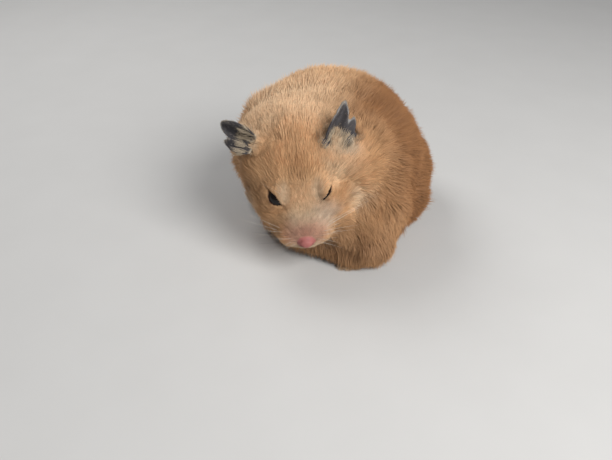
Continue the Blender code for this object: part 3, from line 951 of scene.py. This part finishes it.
def coat_tree(tufts, material):
    """Plant tufts on one plot of the skin; crowd, length and lie come from the skin's own values."""
    group, tree, given = node_group("coat", (("Skin", "Geometry"), ("Plot", "Int"),
                                             ("Crowd share", "Float"), ("Blade width", "Float"),
                                             ("Rise", "Float"), ("Seed", "Int")), "Coat")
    same = tree.add("FunctionNodeCompare", {"data_type": "INT", "operation": "EQUAL"})
    whole = tree.add("GeometryNodeFieldOnDomain", {"data_type": "INT", "domain": "FACE"},
                     i0=named(tree, "plot", "INT"))
    first, second = [s for s in same.inputs if s.enabled][:2]
    tree.link(whole.outputs[0], first)
    tree.link(given["Plot"], second)
    crowd = tree.math("MULTIPLY", named(tree, "crowd", "FLOAT"), given["Crowd share"])
    crowd = tree.math("MULTIPLY", crowd, same.outputs[0])
    scatter = tree.add("GeometryNodeDistributePointsOnFaces", {"distribute_method": "RANDOM"},
                       Mesh=given["Skin"], Density=crowd, Seed=given["Seed"])
    roots = stored(tree, scatter.outputs["Points"], "root_uv", "FLOAT_VECTOR", "POINT",
                   named(tree, "OFBake", "FLOAT_VECTOR"))
    roots = without(tree, roots, "OFBake")

    stand = tree.add("FunctionNodeAxesToRotation", {"primary_axis": "Z", "secondary_axis": "Y"},
                     i0=scatter.outputs["Normal"], i1=named(tree, "lie", "FLOAT_VECTOR"))
    lean = random_value(tree, (-0.10, -0.50, -0.16), (0.16, 0.50, 0.16), 11, "FLOAT_VECTOR")
    lean = tree.add("FunctionNodeEulerToRotation", i0=lean).outputs[0]
    shake = tree.add("FunctionNodeRotateRotation", {"rotation_space": "LOCAL"}, i0=stand.outputs[0], i1=lean)

    long = tree.math("MULTIPLY", named(tree, "long", "FLOAT"), random_value(tree, 0.72, 1.22, 12))
    wide = tree.math("MULTIPLY", given["Blade width"], random_value(tree, 0.75, 1.25, 13))
    slim = tree.math("MINIMUM", 1.0, tree.math("ADD", 0.45, tree.math("MULTIPLY", long, 130.0)))
    wide = tree.math("MULTIPLY", wide, slim)
    high = tree.math("MULTIPLY", tree.math("MULTIPLY", long, given["Rise"]), random_value(tree, 0.7, 1.3, 14))
    scale = tree.add("ShaderNodeCombineXYZ", X=wide, Y=long, Z=high)
    real, _ = planted(tree, roots, tufts, shake.outputs[0], scale.outputs[0], 15,
                      ("lie", "long", "crowd", "plot", "hide"))

    on_patch = tree.vector("MULTIPLY", named(tree, "tuft", "FLOAT_VECTOR"), (TUFT_PATCH, TUFT_PATCH, 0.0))
    spot = tree.vector("ADD", named(tree, "root_uv", "FLOAT_VECTOR"), on_patch)
    real = stored(tree, real, "OFBake", "FLOAT2", "CORNER", spot)
    real = without(tree, real, "root_uv", "tuft")
    where = tree.add("GeometryNodeInputPosition").outputs[0]
    raised = tree.vector("MAXIMUM", where, (-1.0, -1.0, FLOOR_GAP))
    real = tree.add("GeometryNodeSetPosition", Geometry=real, Position=raised).outputs[0]
    finished(tree, real, material, "Coat")
    return group


def socket_id(group, name):
    return next(item.identifier for item in group.interface.items_tree
                if item.item_type == "SOCKET" and item.in_out == "INPUT" and item.name == name)


def plot_sizes(skin):
    """Expected tufts in each plot at full crowd."""
    triangles = read(skin.loop_triangles, "vertices", 3, np.int32)
    corners = points_of(skin)[triangles]
    edge, other = corners[:, 1] - corners[:, 0], corners[:, 2] - corners[:, 0]
    area = 0.5 * np.linalg.norm(np.cross(edge, other), axis=1)
    crowd = read(skin.attributes["crowd"].data, "value", 1)
    plot = read(skin.attributes["plot"].data, "value", 1, np.int32)
    face_plot = np.rint(plot[triangles].mean(1)).astype(int)
    tufts = area * crowd[triangles].mean(1)
    return {name: tufts[face_plot == index].sum() for index, name in enumerate(PLOTS)}


def cleared(group):
    """Remove a collection with the objects in it."""
    for kind in list(group.objects):
        bpy.data.objects.remove(kind)
    bpy.data.collections.remove(group)


def coat_pieces(skin, material):
    """The coat, plot by plot, each thinned evenly to its share of triangles."""
    tufts = tuft_collection()
    group = coat_tree(tufts, material)
    expected = plot_sizes(skin)
    most = COAT_TRIANGLES / (BLADES * BLADE_TRIANGLES)
    pieces = []
    for index, name in enumerate(PLOTS):
        carrier = linked("coat_" + name, skin)
        planter = carrier.modifiers.new("coat", "NODES")
        planter.node_group = group
        width = BLADE_WIDTH.get(name, OTHER_WIDTH)
        for socket, value in (("Plot", index), ("Crowd share", min(1.0, most / max(expected[name], 1.0))),
                              ("Blade width", width * MM), ("Rise", BLADE_RISE.get(name, OTHER_RISE)),
                              ("Seed", 7 + index)):
            planter[socket_id(group, socket)] = value
        mesh = settled(carrier)
        mesh.name = "coat_" + name
        pieces.append(linked("coat_" + name, mesh))
    cleared(tufts)
    return pieces


# Whiskers and claws ------------------------

def horn(name, radius, bend, rings, sides):
    """A round taper of unit length along +Y, bent towards -Z, closed at both ends."""
    bm = bmesh.new()
    loops = []
    for ring in range(rings):
        share = ring / rings
        middle = Vector((0.0, share, -bend * share * share))
        girth = radius * (1.0 - share) ** 0.7
        loops.append([bm.verts.new(middle + Vector((girth * math.cos(2.0 * math.pi * step / sides), 0.0,
                                                    girth * math.sin(2.0 * math.pi * step / sides))))
                      for step in range(sides)])
    tip = bm.verts.new((0.0, 1.0, -bend))
    for low, high in zip(loops, loops[1:]):
        for step in range(sides):
            after = (step + 1) % sides
            bm.faces.new((low[step], low[after], high[after], high[step]))
    for step in range(sides):
        bm.faces.new((loops[-1][step], loops[-1][(step + 1) % sides], tip))
    bm.faces.new(loops[0])
    bmesh.ops.recalc_face_normals(bm, faces=bm.faces[:])
    return mesh_from(bm, name)


def whisker_roots():
    """Roots of the whiskers on the muzzle, brow and cheeks: place, lie and length, in head mm."""
    dice = np.random.default_rng(31)
    roots = []
    for side in (1.0, -1.0):
        for row in range(4):
            for column in range(5):
                place = (side * (3.2 + 0.95 * column), -23.3 + 1.15 * column, -5.0 - 1.25 * row)
                lie = (side * (0.95 + 0.05 * column), -0.40 + 0.22 * column, 0.42 - 0.30 * row)
                roots.append((place, lie, 8.0 + 1.9 * column - 0.8 * row))
        for column in range(2):
            roots.append(((side * (6.0 + column), -10.5 + column, 6.0), (side * 0.5, 0.15, 0.9), 9.0))
        roots.append(((side * 12.5, -8.0, -3.0), (side * 0.9, 0.1, -0.1), 9.0))
    shaken = []
    for place, lie, long in roots:
        turn = dice.normal(size=3) * 0.10
        shaken.append((np.array(place), np.array(lie) + turn, long * dice.uniform(0.8, 1.15)))
    return shaken


def claw_roots():
    """The foremost point of every toe, with the way it points and its claw's length in mm."""
    roots = []
    for node, toes, yaw, long in (("forepaw_left", 4, 6, 1.3), ("forepaw_right", 4, -6, 1.3),
                                  ("hindfoot_left", 5, 10, 1.6), ("hindfoot_right", 5, -10, 1.6)):
        points = points_of(frame["nodes"][node].data)
        low, high = points.min(0), points.max(0)
        turn = np.array(Matrix.Rotation(math.radians(-yaw), 3, "Z"))
        level = (points - 0.5 * (low + high)) @ turn.T
        for toe in range(toes):
            slot = (toe - 0.5 * (toes - 1)) * 1.75 * MM
            near = np.nonzero((np.abs(level[:, 0] - slot) < 0.8 * MM) & (points[:, 2] < 1.9 * MM))[0]
            if len(near):
                front = points[near[np.argmin(level[near, 1])]]
                forward = turn.T @ np.array((0.10 * (toe - 0.5 * (toes - 1)), -1.0, 0.0))
                roots.append((front - 0.3 * MM * forward + np.array((0, 0, 0.25 * MM)), forward, long))
    return roots


def root_mesh(name, roots, rise):
    """Loose points that carry the lie and length of what stands on each."""
    bm = bmesh.new()
    for place, _, _ in roots:
        bm.verts.new(place)
    mesh = mesh_from(bm, name)
    store(mesh, "lie", "FLOAT_VECTOR", unit(np.array([lie for _, lie, _ in roots])))
    store(mesh, "rise", "FLOAT_VECTOR", np.array([rise] * len(roots), float))
    store(mesh, "long", "FLOAT", np.array([long for _, _, long in roots]) * MM)
    return mesh


def planting_tree(kinds, material):
    """Stand one of the kinds on every loose point, lying as the point says."""
    group, tree, given = node_group("planting", (("Roots", "Geometry"), ("Size", "Float"),
                                                 ("Seed", "Int")), "Planted")
    points = tree.add("GeometryNodeMeshToPoints", Mesh=given["Roots"]).outputs[0]
    stand = tree.add("FunctionNodeAxesToRotation", {"primary_axis": "Y", "secondary_axis": "Z"},
                     i0=named(tree, "lie", "FLOAT_VECTOR"), i1=named(tree, "rise", "FLOAT_VECTOR"))
    size = tree.math("MULTIPLY", named(tree, "long", "FLOAT"), given["Size"])
    scale = tree.add("ShaderNodeCombineXYZ", X=size, Y=size, Z=size)
    real, pick = planted(tree, points, kinds, stand.outputs[0], scale.outputs[0], 21, ("lie", "rise", "long"))
    tree.link(given["Seed"], pick.node.inputs["Seed"])
    finished(tree, real, material, "Planted")
    return group


def planted_piece(name, roots, kinds, material, seed):
    group = bpy.data.collections.new(name + "_kinds")
    for kind in kinds:
        group.objects.link(bpy.data.objects.new(kind.name, kind))
    tree = planting_tree(group, material)
    carrier = linked(name, roots)
    planter = carrier.modifiers.new("planting", "NODES")
    planter.node_group = tree
    planter[socket_id(tree, "Size")] = 1.0
    planter[socket_id(tree, "Seed")] = seed
    mesh = settled(carrier)
    cleared(group)
    return linked(name, mesh)


def whiskers(skin):
    """Whiskers set on the skin itself, nearest to where each should root."""
    roots = []
    tree = KDTree(len(skin.vertices))
    for vert in skin.vertices:
        tree.insert(vert.co, vert.index)
    tree.balance()
    for place, lie, long in whisker_roots():
        seat = tree.find(HEAD @ Vector(place))[0]
        roots.append((seat, HEAD_TURN @ lie, long))
    kinds = [horn("whisker_%d" % kind, 0.0042, 0.05 + 0.06 * kind, 9, 3) for kind in range(3)]
    rise = tuple(HEAD.to_3x3() @ Vector((0, 0, 1)) / MM)
    return planted_piece("whiskers", root_mesh("whisker_roots", roots, rise), kinds, whisker_material(), 41)


def claws():
    kinds = [horn("claw_%d" % kind, 0.16, 0.14 + 0.05 * kind, 6, 8) for kind in range(2)]
    roots = root_mesh("claw_roots", claw_roots(), (0, 0, 1))
    return planted_piece("claws", roots, kinds, claw_material(), 42)


# Materials ------------------------

def shader_tree(name, roughness, **settings):
    """A new material, its tree and its shader with the shader's inputs set."""
    material = bpy.data.materials.new(name)
    material.use_nodes = True
    tree = Tree(material.node_tree)
    shader = material.node_tree.nodes["Principled BSDF"]
    for key, value in dict(settings, Roughness=roughness).items():
        tree.feed(shader, key, value)
    return material, tree, shader


def noise_at(tree, scale, detail):
    """Noise on the object's own coordinates."""
    where = tree.add("ShaderNodeTexCoord").outputs["Object"]
    return tree.add("ShaderNodeTexNoise", Vector=where, Scale=scale, Detail=detail).outputs["Fac"]


def between(tree, shader, share, first, second):
    """Feed the shader a mix of two plain colours."""
    colour = mix_colour(tree, "MIX", share, first + (1.0,), second + (1.0,))
    tree.link(colour, shader.inputs["Base Color"])


def toned(tree, shader, colour, value):
    """Feed the shader a colour multiplied by a value."""
    grey = tree.add("ShaderNodeCombineColor", i0=value, i1=value, i2=value)
    tree.link(mix_colour(tree, "MULTIPLY", 1.0, colour, grey.outputs[0]), shader.inputs["Base Color"])


def attribute(tree, name, output="Fac"):
    node = tree.add("ShaderNodeAttribute", {"attribute_name": name, "attribute_type": "GEOMETRY"})
    return node.outputs[output]


def mix_colour(tree, blend, share, first, second):
    node = tree.add("ShaderNodeMix", {"data_type": "RGBA", "blend_type": blend})
    for index, value in ((0, share), (6, first), (7, second)):
        tree.feed(node, "i%d" % index, value)
    return node.outputs[2]


def coat_material():
    """Hair: darker at the root, paler at the tip, each tuft a shade of its own. The darker root is partly a
    greyer undercoat and partly painted shade deep in the coat.
    """
    material, tree, shader = shader_tree("coat", 0.62, Sheen_Weight=0.08, Sheen_Roughness=0.4,
                                         Specular_IOR_Level=0.25)
    # darker towards the root: partly the greyer undercoat, partly painted shade deep in the coat
    rise = tree.add("ShaderNodeMapRange", {"interpolation_type": "SMOOTHSTEP"},
                    Value=attribute(tree, "tip"), To_Min=0.76, To_Max=1.06)
    value = rise.outputs[0]
    for name in ("shade", "streak"):
        value = tree.math("MULTIPLY", value,
                          tree.math("ADD", 0.86, tree.math("MULTIPLY", attribute(tree, name), 0.28)))
    toned(tree, shader, attribute(tree, "fur", "Color"), value)
    return material


def skin_material():
    """Skin under the coat, and bare on nose, lids, ears and feet."""
    material, tree, shader = shader_tree("skin", 0.55, Specular_IOR_Level=0.35)
    blotch = noise_at(tree, 500.0, 2.0)
    toned(tree, shader, attribute(tree, "hide", "Color"),
          tree.math("ADD", 0.80, tree.math("MULTIPLY", blotch, 0.4)))
    bump = tree.add("ShaderNodeBump", Strength=0.5, Distance=0.12 * MM, Height=noise_at(tree, 2600.0, 3.0))
    tree.link(bump.outputs[0], shader.inputs["Normal"])
    return material


def eye_material():
    material, tree, shader = shader_tree("eye", 0.06, Specular_IOR_Level=0.3)
    between(tree, shader, noise_at(tree, 900.0, 2.0), (0.004, 0.003, 0.003), (0.012, 0.007, 0.005))
    return material


def whisker_material():
    """Mostly pale whiskers, one in four of them dark."""
    material, tree, shader = shader_tree("whisker", 0.45)
    dark = tree.math("LESS_THAN", attribute(tree, "shade"), 0.25)
    between(tree, shader, dark, (0.72, 0.66, 0.56), (0.06, 0.045, 0.035))
    return material


def claw_material():
    material, tree, shader = shader_tree("claw", 0.32)
    tone = tree.add("ShaderNodeMapRange", Value=attribute(tree, "shade"), To_Min=0.2, To_Max=0.8)
    between(tree, shader, tone.outputs[0], (0.62, 0.44, 0.36), (0.70, 0.58, 0.48))
    return material


# Eyes ------------------------

def eyeball(side_name, material):
    """A wet dark ball, its pole in the gap between the lids."""
    side = dict(SIDES)[side_name]
    centre, _, _, outward = lid_frame(side_name, side)
    bm = bmesh.new()
    bmesh.ops.create_uvsphere(bm, u_segments=48, v_segments=32, radius=EYE_RADIUS)
    turn = Vector((0, 0, 1)).rotation_difference(Vector(outward)).to_matrix().to_4x4()
    bmesh.ops.transform(bm, matrix=HEAD @ Matrix.Translation(Vector(centre)) @ turn, verts=bm.verts)
    mesh = mesh_from(bm, "eye")
    mesh.materials.append(material)
    mesh.shade_smooth()
    return linked("eyeball_" + side_name, mesh)


# Stage ------------------------

def place_camera():
    azimuth, elevation = math.radians(VIEW_AZIMUTH), math.radians(VIEW_ELEVATION)
    away = Vector((math.sin(azimuth) * math.cos(elevation),
                   -math.cos(azimuth) * math.cos(elevation), math.sin(elevation)))
    camera = linked("camera", bpy.data.cameras.new("camera"))
    camera.data.lens = LENS
    camera.data.sensor_width = SENSOR
    camera.data.clip_start = 1 * MM
    camera.location = VIEW_AIM + away * VIEW_DISTANCE
    camera.rotation_euler = away.to_track_quat("Z", "Y").to_euler()
    bpy.context.scene.camera = camera


def soft_light(name, at, size, power):
    light = bpy.data.lights.new(name, "AREA")
    light.shape = "DISK"
    light.size = size
    light.energy = power
    thing = linked(name, light)
    thing.location = Vector(at)
    thing.rotation_euler = (Vector(at) - Vector(LIT_SPOT)).to_track_quat("Z", "Y").to_euler()


def light_stage():
    soft_light("key", *KEY_LIGHT)
    soft_light("back", *BACK_LIGHT)
    bpy.context.scene.view_settings.view_transform = "Standard"
    world = bpy.data.worlds.new("studio")
    world.use_nodes = True
    background = world.node_tree.nodes["Background"]
    background.inputs["Color"].default_value = STUDIO_TINT
    background.inputs["Strength"].default_value = STUDIO_STRENGTH
    bpy.context.scene.world = world


def floor():
    bm = bmesh.new()
    bmesh.ops.create_grid(bm, x_segments=1, y_segments=1, size=3.0)
    mesh = mesh_from(bm, "floor")
    material, tree, shader = shader_tree("floor", 0.8)
    between(tree, shader, noise_at(tree, 40.0, 4.0), (0.62, 0.61, 0.59), (0.66, 0.65, 0.63))
    mesh.materials.append(material)
    plane = linked("floor", mesh)


# Making ------------------------

place_camera()
light_stage()
floor()

skin = grown_skin()
unwrapped(skin)
coat = coat_pieces(skin, coat_material())
skin.materials.clear()
skin.materials.append(skin_material())
hide = linked("hide", skin)
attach(hide, "root")
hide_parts(*FLESH, *EAR_NODES)
for piece in coat:
    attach(piece, "root")
for piece, slot in ((whiskers(skin), "golden"), (claws(), "skin")):
    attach(piece, "root")
gloss = eye_material()
for side_name, _ in SIDES:
    ball = eyeball(side_name, gloss)
    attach(ball, "root")
    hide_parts("eye_" + side_name)
